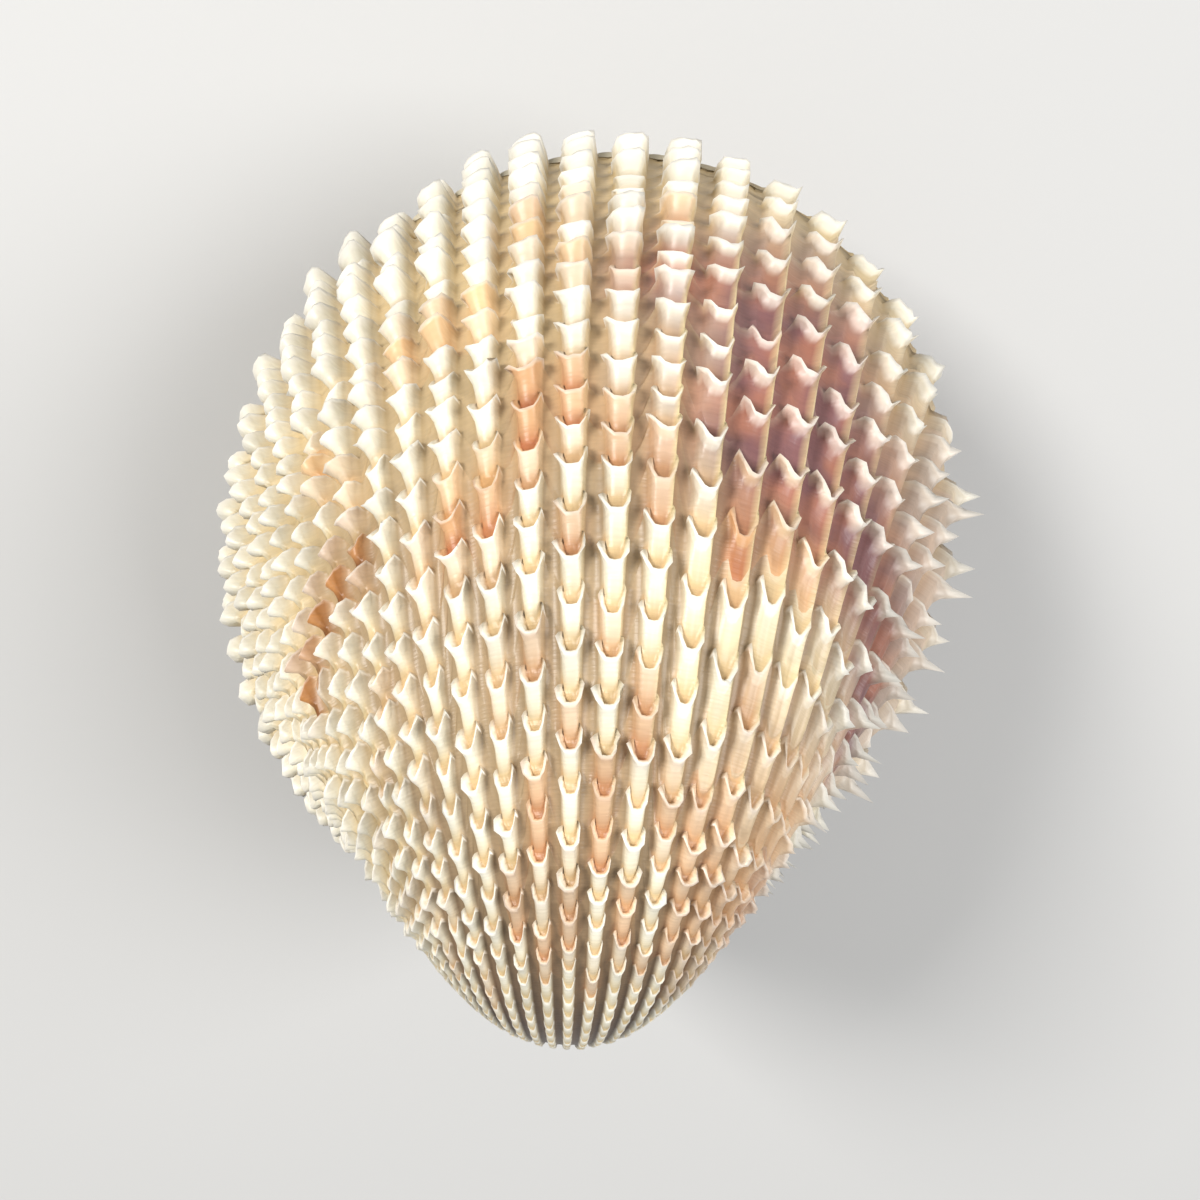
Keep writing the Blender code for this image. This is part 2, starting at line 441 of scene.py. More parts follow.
def scale_rows(rib, row, rng):
    """Which rows carry a scale, where each row starts, its length and its room."""
    reach = shell_point(rib_angle(rib), 0.0)[..., 1]
    centre_reach = shell_point(rib_angle(CENTRE_RIB), 0.0)[1]
    kinds = kind_weights(rib, np.degrees(turn_of(row + 0.0 * rib)))
    longer = 1 + of_kinds(LONGER_KINDS, kinds)
    rows_each = CENTRE_SHARE * centre_reach / reach * longer
    rows_each = np.clip(rows_each, 1, MOST_ROWS_TO_A_SCALE)
    count = np.cumsum(1 / rows_each, axis=0) - 1 / rows_each
    kept = np.diff(np.floor(count + JUST_UNDER), axis=0, prepend=-1) > 0

    kept_extent = rows_each - SKIPPED_EXTENT * (rows_each - 1)
    extent = np.where(kept, kept_extent, SKIPPED_EXTENT)
    extent = extent * rng.uniform(*EXTENT_RANGE, extent.shape)
    start = np.cumsum(extent, axis=0) - extent
    to_whole_valve = ROWS / start[-1:]
    start, extent = start * to_whole_valve, extent * to_whole_valve
    room = extent.copy()
    for older in range(1, ROWS + 1):
        room[older] = np.where(kept[older - 1], extent[older - 1], room[older - 1])
    return kept, start, extent, room


print("shortest and longest row, against an even one:", EXTENT_RANGE)

# %% [markdown]
# ## One number for each scale
#
# No two scales are alike.  Each has its own height, place and slant, from a
# seeded generator, so that the shell is the same each time it is made.  Some
# are worn away, most often on the back and by the beak.  The two valves share
# one plan.  The left one's ribs are half a rib further on, so that the edges
# interlock, and its newest scales are shorter.

# %% Scales of a valve
HEIGHT_RANGE = (0.55, 1.2)
ARM_RANGE = (0.8, 1.0)
SLANT_RANGE = (0.1, 0.7)
STRAIGHTER = {"thorn": 1.0, "cup": 0.4}
BARE_SHARE = 0.9
WORN_ODDS = 0.08
MORE_WORN = {"cup": 0.28, "node": 0.45}
WORN_HEIGHT = 0.2
HEIGHT_BY_ROW = 0.25
ARM_BY_ROW = 0.35
LAST_SCALE_DEG = 5
RIGHT_VALVE = {"shift": 0.0, "seed": 11, "newest": 0.9}
LEFT_VALVE = {"shift": 0.5, "seed": 23, "newest": 0.35}


def valve_scales(shift, seed, newest):
    """Grids with a row for each row of scales and a column for each rib."""
    rng = np.random.default_rng(seed)
    shape = (ROWS + 1, RIB_COUNT)
    rib = np.arange(RIB_COUNT)[None, :] + shift
    row = np.arange(ROWS + 1)[:, None]
    kept, start, extent, room = scale_rows(rib, row, rng)
    turn_deg = np.degrees(turn_of(start + STEP_MIDDLE[LIP] * extent))
    kinds = kind_weights(rib, turn_deg)

    depth = sum(kinds[kind] * KINDS[kind]["height"] for kind in KINDS)
    depth = depth * (1 - BARE_SHARE * hills(rib, turn_deg, BARE_HILLS))
    depth = depth * np.clip(newest + HEIGHT_BY_ROW * row, 0, 1)
    height = depth * rng.uniform(*HEIGHT_RANGE, shape)
    is_worn = rng.uniform(0, 1, shape) < WORN_ODDS + of_kinds(MORE_WORN, kinds)
    height = height * np.where(is_worn, WORN_HEIGHT, 1)
    arm = rng.uniform(*ARM_RANGE, shape) * np.clip(ARM_BY_ROW * (1 + row), 0, 1)
    for newer in reversed(range(ROWS)):
        arm[newer] = np.where(kept[newer], arm[newer], arm[newer + 1])
    older_deg = np.vstack([turn_deg[1:], turn_deg[-1:] + LAST_SCALE_DEG])
    return {
        "tints": {
            tint: band_strength(bands, rib, turn_deg, older_deg)
            for tint, bands in COLOUR_BANDS.items()
        },
        "kinds": kinds,
        "height": height,
        "depth": depth,
        "start": start,
        "extent": extent,
        "room": room,
        "kept": kept * 1.0,
        "arm": arm,
        "slant": rng.uniform(*SLANT_RANGE, shape) * (1 - of_kinds(STRAIGHTER, kinds)),
        "chance": rng.uniform(0, 1, shape),
        "rough": rng.uniform(-1, 1, (2, len(net_rows), net_place.shape[1])),
    }


for side, valve in (("right", RIGHT_VALVE), ("left", LEFT_VALVE)):
    print(side, "valve has", int(valve_scales(**valve)["kept"].sum()), "scales")

# %% [markdown]
# ## A valve from a flat net
#
# A flat grid is the net of the sheet.  Its columns run from one end of the
# hinge to the other, and its rows from the mouth to the beak.  Each vertex of
# the net is then carried to its place on the folded shell.  This keeps the
# whole valve one skin with no seams, however wild the scales are.

# %% Spread the scales over the net
HINGE_END = math.pi / 2


def on_net(values, row=net_row):
    """Spreads one number for each scale over the net; a groove has its ribs' mean."""
    here = values[row, net_rib]
    before = values[row, np.maximum(net_rib - 1, 0)]
    return np.where(is_groove, (here + before) / 2, here)


def blend(kinds, part, index=()):
    """One part of the kinds' table, weighed for each vertex of the net."""
    return sum(kinds[kind] * np.array(KINDS[kind][part], float)[index] for kind in KINDS)


def net_angles(shift):
    """Angle round the hinge of each column, and how much it belongs to the ribs."""
    angle = rib_angle(net_place + shift)
    front_end = np.linspace(-HINGE_END, angle[0, HINGE_COLUMNS], HINGE_COLUMNS + 1)
    tail_end = np.linspace(angle[0, -HINGE_COLUMNS - 1], HINGE_END, HINGE_COLUMNS + 1)
    angle[0, :HINGE_COLUMNS] = front_end[:-1]
    angle[0, -HINGE_COLUMNS:] = tail_end[1:]
    ribbed = np.ones(angle.shape)
    ribbed[0, :HINGE_COLUMNS] = np.linspace(0, 1, HINGE_COLUMNS, endpoint=False)
    ribbed[0, -HINGE_COLUMNS:] = ribbed[0, HINGE_COLUMNS - 1::-1]
    return angle, ribbed


print("columns of the net in grooves:", int(is_groove.sum()))

# %% [markdown]
# The middle of a scale follows the steps of the scoop, and its arms reach back
# to the scale before.  A groove lies between two ribs with steps of their own,
# so it takes the mean of the places that each rib would give it.

# %% Places along the ribs
SKIPPED_PULL = 0.565
BACK_END = 0.8
LONGEST_BACK = 1.0


def places_along(scales, arm, stand, ribbed):
    """Place of each vertex of the net along its rib, in rows from the mouth."""
    step_middle = STEP_FLAT[net_step] + stand * (STEP_MIDDLE - STEP_FLAT)[net_step]
    step_arm = STEP_ARM[net_step]
    lip_middle = STEP_MIDDLE[LIP]
    is_back = (net_step > LIP) & (step_middle < BACK_END)

    def steps_along(rib):
        """Where the steps lie if they follow one rib."""
        start, extent, room, here = (
            scales[grid][net_row, rib] for grid in ("start", "extent", "room", "kept"))
        arm_reach = step_arm * np.where(step_arm < 0, room, extent)
        back = (step_middle - lip_middle) * np.minimum(extent, LONGEST_BACK)
        back = lip_middle * extent + back
        middle_reach = np.where(is_back, back, step_middle * extent)
        with_scale = (1 - arm) * middle_reach + arm * arm_reach
        without = step_middle * extent - SKIPPED_PULL * arm * room
        return start + here * with_scale + (1 - here) * without

    along = steps_along(net_rib)
    from_before = steps_along(np.maximum(net_rib - 1, 0))
    along = np.where(is_groove, (along + from_before) / 2, along)
    along = np.where(ribbed < 1, net_row + STEP_EVEN[net_step], along)
    along = np.where((net_row == 0) & (net_step == 0), 0, along)
    return np.clip(along, 0, ROWS)


print("most rows that a scale's back takes:", LONGEST_BACK)

# %% [markdown]
# The colours follow the fold, so each vertex keeps what the material will ask
# for: whether it is on a crest or a lip or in a hollow, which rib it is on, how
# far it has turned, and how much of each pigment it holds.

# %% Values for the finish
HOLLOW_FULL_MM = 0.15
WING_FULL_MM = 0.45
LIP_FULL_MM = 0.5
WASHED_BY_RISE = 1.4
WASHED_SHARE = 0.95
SPOUT_HOLD = 0.8


def net_finish(place, turn_deg, rise, tall, cord, scales, kinds):
    """Values for the finish at every vertex of the net."""
    everywhere = 0 * turn_deg
    washed = np.clip(WASHED_BY_RISE * rise, 0, 1) * PIGMENT_HOLD[net_column]
    mauve = hills(place, turn_deg, MAUVE_HILLS) * (1 - WASHED_SHARE * washed)
    is_wing = np.isin(net_step, (INNER_LIP, LIP))
    finish = {
        "crest": np.clip(RIB_PROFILE[net_column] + GROOVE_DEPTH + everywhere, 0, 1),
        "rise": rise + everywhere,
        # painted shade in the hollow under the lip, strongest where it lies deepest
        "hollow": HOLLOW_SHADE[net_step] * np.clip(-tall / HOLLOW_FULL_MM, 0, 1),
        "wing": np.clip(tall / WING_FULL_MM, 0, 1) * is_wing,
        "lip": (net_step == LIP) * np.clip(tall / LIP_FULL_MM, 0, 1),
        "cord": cord,
        "mauve": mauve,
        "rib": place + everywhere,
        "turn": turn_deg,
        "chance": on_net(scales["chance"]),
    }
    grown_with = np.maximum(net_row - (net_step < LIP), 0)
    hold = PIGMENT_HOLD[net_column]
    hold = hold + (1 - hold) * SPOUT_HOLD * kinds["spout"]
    for tint, strength in scales["tints"].items():
        finish[tint] = on_net(strength, grown_with) * hold
    return finish


print("pigments:", ", ".join(COLOUR_BANDS))

# %% [markdown]
# The ribs stand up by a share of their own width, and the scales on them by
# their height in millimetres, less where the ribs draw together.  The wall is
# thin, so a scale leans and spreads sideways as well as rising, and its edge
# is a little rough.

# %% Lay out the outside of a valve
RIB_RELIEF = 0.38
RELIEF_BY_ROW = 0.35
WORN_RELIEF = {"cup": 0.3, "node": 0.15}
FULL_SCALE_PITCH_MM = 2.6
UNDERCUT_FROM_MM = 0.3
LONGEST_ARM = 0.88
SIDE_LEAN = 0.6
UNDER_CORD = 0.8
ROUGH_FROM_MM = 0.4
ROUGH_MM = 0.05
ROUGH_LIP_MM = 0.11
PITCH_REACH = 0.05


def rib_pitch(place, turn):
    """Distance in mm between two ribs, at each point of the net."""
    ahead = shell_point(rib_angle(place + PITCH_REACH), turn)
    behind = shell_point(rib_angle(place - PITCH_REACH), turn)
    return np.linalg.norm(ahead - behind, axis=-1) / (2 * PITCH_REACH)


def valve_layout(shift, scales, newest):
    """Positions in mm and finish values for every vertex of the net."""
    place = net_place + shift
    angle, ribbed = net_angles(shift)
    kinds = {kind: on_net(weight) for kind, weight in scales["kinds"].items()}
    kept = on_net(scales["kept"])
    height = on_net(scales["height"])
    arm = np.clip(blend(kinds, "arms", net_column) * on_net(scales["arm"]), 0, LONGEST_ARM)
    slant = 1 + on_net(scales["slant"]) * COLUMN[net_column]
    collar = blend(kinds, "collar", net_column) * slant
    stand = kept * np.clip(height * collar / UNDERCUT_FROM_MM, 0, 1)
    turn = turn_of(places_along(scales, arm, stand, ribbed))
    turn_deg = np.degrees(turn)
    angle = np.broadcast_to(angle, turn.shape)

    # how high the scale stands there
    trough = (1 - arm) * blend(kinds, "rise", TROUGH_STEP)
    rise = (1 - arm) * blend(kinds, "rise", net_step) + arm * ARM_RISE[net_step]
    rise = kept * rise + (1 - kept) * trough
    pitch = rib_pitch(place, turn)
    size = np.clip(pitch / FULL_SCALE_PITCH_MM, 0, 1)
    cord = hills(place, turn_deg, CORD_HILLS) * CORD_SHARE[net_column] * ribbed
    tall = np.where(rise > 0, height, on_net(scales["depth"])) * rise
    tall = tall * size * collar * ribbed * (1 - UNDER_CORD * cord)

    # how high the rib is, and how far the sheet spreads sideways
    profile = RIB_PROFILE[net_column] - SINK[net_column] * kinds["spout"]
    grown = np.clip(newest + RELIEF_BY_ROW * net_row, 0, 1)
    profile = (profile + GROOVE_DEPTH) * grown - GROOVE_DEPTH
    relief = RIB_RELIEF * pitch * profile * ribbed * (1 - of_kinds(WORN_RELIEF, kinds))
    waist = blend(kinds, "waist") * WAIST_SHARE[net_column]
    spread = blend(kinds, "spread", net_column) * np.clip(rise, 0, 1)
    spread = spread - waist * np.clip(1 - rise, 0, 1)
    rough = np.where(net_step == LIP, ROUGH_LIP_MM, ROUGH_MM)
    rough = scales["rough"] * size * (rough * np.clip(tall / ROUGH_FROM_MM, 0, 1))

    # carry the net onto the shell
    up = relief + tall * UP_SHARE[net_column] + cord * CORD_HEIGHT_MM + rough[0]
    side = tall * SIDE_SHARE[net_column] * SIDE_LEAN + spread * pitch * ribbed + rough[1]
    forward = np.clip(tall, 0, None) * blend(kinds, "lean")
    across, growth, outward = surface_axes(angle, turn)
    points = shell_point(angle, turn)
    points = points + outward * up[..., None] + across * side[..., None]
    points = points + growth * forward[..., None]
    points[0, :, 2] = 0.0
    points[-1] = 0.0
    return points, net_finish(place, turn_deg, rise, tall, cord, scales, kinds)


print("net of a valve:", len(net_rows), "rows of", net_place.shape[1], "vertices")

# %% [markdown]
# ## From net to shell
#
# The outside and the cavity are two nets.  Their edges lie in the plane of
# the mouth, where a flat fill joins them into the rim.  A flat grid faces up,
# and carrying it onto the shell turns the outside's faces inwards, so those
# are reversed, and so is everything on the mirrored lower valve.

# %% Fold the net into a valve
CAVITY_SHRINK = 0.92
CAVITY_CENTRE_MM = np.array((1.0, 29.0, 0.0))
CAVITY_ROWS = 16
CAVITY_COLUMNS = 72
CAVITY_CROWDING = 1.45
VALVE_GAP_MM = 0.12
MERGE_MM = 1e-5
HALF_GRID = 0.5
FINISHES = (
    "crest", "rise", "hollow", "wing", "lip", "cord", "mauve", "rib", "turn", "chance",
    *COLOUR_BANDS,
)


def fold_net(bm, points, finish):
    """Makes a flat grid and carries its vertices to the points."""
    rows, columns = points.shape[:2]
    made = bmesh.ops.create_grid(
        bm, x_segments=columns - 1, y_segments=rows - 1, size=HALF_GRID)
    layers = {name: bm.verts.layers.float[name] for name in finish}
    for vert in made["verts"]:
        column = round((vert.co.x + HALF_GRID) * (columns - 1))
        row = round((vert.co.y + HALF_GRID) * (rows - 1))
        vert.co = points[row, column]
        for name, values in finish.items():
            vert[layers[name]] = values[row, column]
    return {face for vert in made["verts"] for face in vert.link_faces}


def cavity_points():
    """The smooth inside wall: the outside shrunk towards a point in the mouth."""
    angle = np.linspace(-HINGE_END, HINGE_END, CAVITY_COLUMNS + 1)
    share = np.linspace(0, 1, CAVITY_ROWS + 1) ** CAVITY_CROWDING
    turn = np.radians(LAST_TURN_DEG) * share
    outside = shell_point(angle[None, :], turn[:, None])
    points = CAVITY_CENTRE_MM + (outside - CAVITY_CENTRE_MM) * CAVITY_SHRINK
    points[-1] = CAVITY_CENTRE_MM * (1 - CAVITY_SHRINK)
    return points


def make_valve(name, valve, upper):
    """Folds both nets, joins them at the rim and lays the valve on the table."""
    points, finish = valve_layout(valve["shift"], valve_scales(**valve), valve["newest"])
    points[..., 2] = np.maximum(points[..., 2], 0)
    bm = bmesh.new()
    for layer in FINISHES:
        bm.verts.layers.float.new(layer)
    outside = fold_net(bm, points, finish)
    bmesh.ops.reverse_faces(bm, faces=list(outside))
    fold_net(bm, cavity_points(), {})
    bmesh.ops.remove_doubles(bm, verts=bm.verts, dist=MERGE_MM)
    edge_loops = [edge for edge in bm.edges if edge.is_boundary]
    rim = bmesh.ops.triangle_fill(bm, edges=edge_loops, use_beauty=True)["geom"]
    rim = [face for face in rim if isinstance(face, bmesh.types.BMFace)]
    bmesh.ops.reverse_faces(bm, faces=[face for face in rim if face.normal.z > 0])
    bmesh.ops.translate(bm, verts=bm.verts, vec=(0, 0, VALVE_GAP_MM / 2))
    if not upper:
        bmesh.ops.scale(bm, verts=bm.verts, vec=(1, 1, -1))
        bmesh.ops.reverse_faces(bm, faces=bm.faces)
    bmesh.ops.transform(bm, matrix=to_table, verts=bm.verts)

    # the tips that it stands on are pressed flat
    for vert in bm.verts:
        vert.co.z = max(vert.co.z, 0)
    for face in bm.faces:
        face.smooth = True
    twisted = sum(not edge.is_contiguous for edge in bm.edges)
    mesh = bpy.data.meshes.new(name)
    bm.to_mesh(mesh)
    bm.free()
    piece = bpy.data.objects.new(name, mesh)
    bpy.context.scene.collection.objects.link(piece)
    corners = np.array([v.co for v in mesh.vertices]) / MM
    triangles = sum(len(p.vertices) - 2 for p in mesh.polygons)
    print(name, "triangles", triangles, "twisted edges", twisted)
    print("  low", corners.min(0).round(2), "high", corners.max(0).round(2))
    return piece


right_valve = make_valve("shell_right_valve", RIGHT_VALVE, True)
left_valve = make_valve("shell_left_valve", LEFT_VALVE, False)

# %% [markdown]
# ## Aragonite
#
# The shell is aragonite, a chalky mineral laid down in thin layers.  It is
# ivory, whitest on the worn edges of the scales and painted lighter towards
# them, and honey brown down in the grooves, partly its own tone and partly
# painted shade.  It has the dull shine of unglazed china.  The colours follow the
# fold of the sheet and its bands, so the material reads the values that the net
# left on each vertex.

# %% Colours and a helper for nodes
IVORY = "#f0ead5"
CHALK = "#f7f3e8"
BUTTER = "#dac596"
HONEY = "#ccb589"
TAUPE = "#ab9473"
UMBER = "#67503d"
STRAW = "#dcc592"
MAUVE = "#865c5c"
RUSSET = "#a36d5a"
AMBER = "#cf9a62"
CORD_CREAM = "#e4cf9c"
TINTS = {
    # the pigment on a scale's face, and a darker copy of it, painted shade, down in its hollow
    "peach": ("#e7c394", "#d2985b"),
    "rust": ("#d9a470", "#b2663a"),
    "purple": ("#e6d2c7", "#85544e"),
    "brown": ("#c0854c", "#8d5a2c"),
}


def linear(hex_colour):
    """An sRGB hex colour as linear red, green, blue and alpha."""
    parts = [int(hex_colour[i:i + 2], 16) / 255 for i in (1, 3, 5)]
    return [p / 12.92 if p <= 0.04045 else ((p + 0.055) / 1.055) ** 2.4 for p in parts] + [1]


def add_node(tree, kind, settings, inputs):
    """Adds a node, with its settings and what goes into it; a socket is linked."""
    node = tree.nodes.new(kind)
    for name, value in settings.items():
        setattr(node, name, value)
    for key, value in inputs.items():
        if isinstance(value, bpy.types.NodeSocket):
            tree.links.new(value, node.inputs[key])
        else:
            node.inputs[key].default_value = value
    return node


print("dark of the grooves, linear:", [round(part, 3) for part in linear(UMBER)])

# %% [markdown]
# Growth lines cross the ribs and fine striae follow them.  Both are noise,
# stretched over the folded sheet, so they bend with the scales.  They are far
# too fine to sculpt, and a little bump gives them to the light.  Real growth
# lines are about a tenth of a millimetre apart, too fine to show, so they are
# drawn twice as coarse.  Clouds of stain lie over the whole shell, so their
# noise is in space.

# %% Patterns of the sheet
RIB_WIDTH_MM = 3.0
DEGREE_MM = 0.8
GROWTH_LINE_MM = 0.22
GROWTH_LINE_LENGTH_MM = 2.0
STRIATION_MM = 0.25
STRIATION_LENGTH_MM = 4.0
CLOUD_MM = 5.0


def sheet_patterns(tree, value):
    """Noise for the growth lines, the striae and the clouds of stain."""
    round_mm = add_node(tree, "ShaderNodeMath", {"operation": "MULTIPLY"}, {
        0: value["rib"], 1: RIB_WIDTH_MM})
    along_mm = add_node(tree, "ShaderNodeMath", {"operation": "MULTIPLY"}, {
        0: value["turn"], 1: DEGREE_MM})
    sheet = add_node(tree, "ShaderNodeCombineXYZ", {}, {
        0: round_mm.outputs[0], 1: along_mm.outputs[0]})
    lines = {
        "growth": ((1 / GROWTH_LINE_LENGTH_MM, 1 / GROWTH_LINE_MM, 1), 1.0),
        "striation": ((1 / STRIATION_MM, 1 / STRIATION_LENGTH_MM, 1), 0.0),
    }
    patterns = {}
    for name, (per_mm, detail) in lines.items():
        stretched = add_node(tree, "ShaderNodeMapping", {}, {
            "Vector": sheet.outputs[0], "Scale": per_mm})
        noise = add_node(tree, "ShaderNodeTexNoise", {}, {
            "Vector": stretched.outputs[0], "Scale": 1.0, "Detail": detail})
        patterns[name] = noise.outputs[0]
    place = add_node(tree, "ShaderNodeTexCoord", {}, {})
    cloud = add_node(tree, "ShaderNodeTexNoise", {}, {
        "Vector": place.outputs["Object"], "Scale": 1 / (CLOUD_MM * MM), "Detail": 3.0})
    patterns["cloud"] = cloud.outputs[0]
    return patterns


print("a growth line every", GROWTH_LINE_MM, "mm, a stria every", STRIATION_MM, "mm")

# %% [markdown]
# The ground is honey in the young grooves, umber in the old ones and straw at
# the front, and down in the grooves it stands for painted shade as well.  The
# ribs are butter yellow down in the hollows, as painted shade, ivory on the faces
# of the scales and chalk towards their lips, as painted light.  Over this lie
# thin coats, each where its value says: amber painted shade in the hollows, the
# pigments of the bands, each with a darker painted-shade copy low down, the mauve
# stain, the cream cords, and chalk again on the worn lips.

# %% Coats of colour
FACTOR, FIRST, SECOND, MIXED = 0, 6, 7, 2
MATURE_DEG = {"From Min": 15, "From Max": 40}
OLD_DEG = {"From Min": 60, "From Max": 105}
FRONT_RIBS = {"From Min": 13, "From Max": 8, "To Max": 0.7}
RAISED = {"From Min": 0.15, "From Max": 0.8}
# from the painted shade of the hollows up to the lit faces, and on to the painted light near
# the lips
OUT_OF_HOLLOW = {"From Min": -0.45, "From Max": 0.1}
NEAR_LIP = {"From Min": 0.35, "From Max": 1.0}
STAIN_PATCH = {"From Min": 0.42, "From Max": 0.58}
HOLLOW_AMBER = 0.5
WORN_CHALK = 0.55


def coats_of_colour(tree, value, cloud):
    """The ground of the shell with its thin coats of colour, as a socket."""
    colour_mix = {"data_type": "RGBA"}
    mature = add_node(tree, "ShaderNodeMapRange", {}, {"Value": value["turn"], **MATURE_DEG})
    old = add_node(tree, "ShaderNodeMapRange", {}, {"Value": value["turn"], **OLD_DEG})
    front = add_node(tree, "ShaderNodeMapRange", {}, {"Value": value["rib"], **FRONT_RIBS})
    groove = add_node(tree, "ShaderNodeMix", colour_mix, {
        FACTOR: mature.outputs[0], FIRST: linear(HONEY), SECOND: linear(TAUPE)})
    groove = add_node(tree, "ShaderNodeMix", colour_mix, {
        FACTOR: old.outputs[0], FIRST: groove.outputs[MIXED], SECOND: linear(UMBER)})
    groove = add_node(tree, "ShaderNodeMix", colour_mix, {
        FACTOR: front.outputs[0], FIRST: groove.outputs[MIXED], SECOND: linear(STRAW)})

    # butter yellow low in the hollows is painted shade, and chalk high towards the lips is
    # painted light
    out = add_node(tree, "ShaderNodeMapRange", {}, {"Value": value["rise"], **OUT_OF_HOLLOW})
    to_lip = add_node(tree, "ShaderNodeMapRange", {}, {"Value": value["rise"], **NEAR_LIP})
    ivory = add_node(tree, "ShaderNodeMix", colour_mix, {
        FACTOR: out.outputs[0], FIRST: linear(BUTTER), SECOND: linear(IVORY)})
    ivory = add_node(tree, "ShaderNodeMix", colour_mix, {
        FACTOR: to_lip.outputs[0], FIRST: ivory.outputs[MIXED], SECOND: linear(CHALK)})
    # low down the ground is both the grooves' own honey-to-umber tone and painted shade; raised
    # parts are ivory
    wing = add_node(tree, "ShaderNodeMath", {"operation": "MAXIMUM"}, {
        0: value["crest"], 1: value["wing"]})
    raised = add_node(tree, "ShaderNodeMapRange", {}, {"Value": wing.outputs[0], **RAISED})
    colour = add_node(tree, "ShaderNodeMix", colour_mix, {
        FACTOR: raised.outputs[0], FIRST: groove.outputs[MIXED], SECOND: ivory.outputs[MIXED]})

    # amber painted shade in the hollows under the lips
    amber = add_node(tree, "ShaderNodeMath", {"operation": "MULTIPLY"}, {
        0: value["hollow"], 1: HOLLOW_AMBER})
    patch = add_node(tree, "ShaderNodeMapRange", {}, {"Value": cloud, **STAIN_PATCH})
    stain = add_node(tree, "ShaderNodeMix", colour_mix, {
        FACTOR: patch.outputs[0], FIRST: linear(MAUVE), SECOND: linear(RUSSET)})
    worn = add_node(tree, "ShaderNodeMath", {"operation": "MULTIPLY"}, {
        0: value["lip"], 1: WORN_CHALK})
    coats = [(amber.outputs[0], linear(AMBER))]
    # each pigment turns to its darker copy low down, as painted shade
    for tint, (face, pigment_in_shade) in TINTS.items():
        pigment = add_node(tree, "ShaderNodeMix", colour_mix, {
            FACTOR: out.outputs[0], FIRST: linear(pigment_in_shade), SECOND: linear(face)})
        coats.append((value[tint], pigment.outputs[MIXED]))
    coats += [
        (value["mauve"], stain.outputs[MIXED]),
        (value["cord"], linear(CORD_CREAM)),
        (worn.outputs[0], linear(CHALK)),
    ]
    for where, coat in coats:
        colour = add_node(tree, "ShaderNodeMix", colour_mix, {
            FACTOR: where, FIRST: colour.outputs[MIXED], SECOND: coat})
    return colour.outputs[MIXED]


print("coats over the ground:", len(TINTS) + 4)

# %% [markdown]
# Last come the fine lines, a shade for each scale, and the relief.  The lines
# are deeper on the cords, which makes their beads.  Aragonite is a dense
# mineral with an IOR of about 1.55, and the worn surface is half matt.

# %% The aragonite
LINE_SHADE = {"From Min": 0.3, "From Max": 0.7, "To Min": 0.94, "To Max": 1.02}
CLOUD_SHADE = {"From Min": 0.3, "From Max": 0.7, "To Min": 0.9, "To Max": 1.04}
OWN_SHADE = {"To Min": 0.86, "To Max": 1.04}
STRIA_RELIEF = 0.45
BEAD_RELIEF = 2.0
BUMP_STRENGTH = 0.22
BUMP_MM = 0.12
ARAGONITE_ROUGHNESS = 0.42
ARAGONITE_IOR = 1.55


def shell_material():
    material = bpy.data.materials.new("ivory_aragonite")
    material.use_nodes = True
    tree = material.node_tree
    shader = tree.nodes["Principled BSDF"]
    value = {
        name: add_node(tree, "ShaderNodeAttribute", {"attribute_name": name}, {}).outputs["Fac"]
        for name in FINISHES
    }
    pattern = sheet_patterns(tree, value)
    colour = coats_of_colour(tree, value, pattern["cloud"])

    # shade
    lines = add_node(tree, "ShaderNodeMapRange", {}, {
        "Value": pattern["growth"], **LINE_SHADE})
    clouds = add_node(tree, "ShaderNodeMapRange", {}, {
        "Value": pattern["cloud"], **CLOUD_SHADE})
    own = add_node(tree, "ShaderNodeMapRange", {}, {
        "Value": value["chance"], **OWN_SHADE})
    shade = add_node(tree, "ShaderNodeMath", {"operation": "MULTIPLY"}, {
        0: lines.outputs[0], 1: clouds.outputs[0]})
    shade = add_node(tree, "ShaderNodeMath", {"operation": "MULTIPLY"}, {
        0: shade.outputs[0], 1: own.outputs[0]})
    shaded = add_node(tree, "ShaderNodeVectorMath", {"operation": "SCALE"}, {
        0: colour, "Scale": shade.outputs[0]})
    tree.links.new(shaded.outputs[0], shader.inputs["Base Color"])

    # relief
    striae = add_node(tree, "ShaderNodeMath", {"operation": "MULTIPLY"}, {
        0: pattern["striation"], 1: STRIA_RELIEF})
    bead_share = add_node(tree, "ShaderNodeMath", {"operation": "MULTIPLY_ADD"}, {
        0: value["cord"], 1: BEAD_RELIEF, 2: 1.0})
    beads = add_node(tree, "ShaderNodeMath", {"operation": "MULTIPLY"}, {
        0: pattern["growth"], 1: bead_share.outputs[0]})
    relief = add_node(tree, "ShaderNodeMath", {"operation": "ADD"}, {
        0: beads.outputs[0], 1: striae.outputs[0]})
    bump = add_node(tree, "ShaderNodeBump", {}, {
        "Height": relief.outputs[0], "Strength": BUMP_STRENGTH, "Distance": BUMP_MM * MM})
    tree.links.new(bump.outputs[0], shader.inputs["Normal"])
    shader.inputs["Roughness"].default_value = ARAGONITE_ROUGHNESS
    shader.inputs["IOR"].default_value = ARAGONITE_IOR
    return material


aragonite = shell_material()
for valve, node in ((right_valve, "right_valve"), (left_valve, "left_valve")):
    valve.data.materials.append(aragonite)
    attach(valve, "root")
    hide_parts(node)
print("aragonite nodes:", len(aragonite.node_tree.nodes))

# %% [markdown]
# ## The ligament
#
# A strap of horny conchiolin springs the valves open from behind the beaks.  A
# stretched sphere gives its length and its rounded ends, and lengthwise
# furrows show the fibres of its layers.

# %% Make the ligament
LIGAMENT_HALF_SIZE_MM = Vector((3.0, 0.85, 0.8))
FIBRES = 11
FIBRE_DEPTH = 0.07
BLUNT_ENDS = 0.6
SEGMENTS_AROUND = 96
SEGMENTS_ALONG = 48


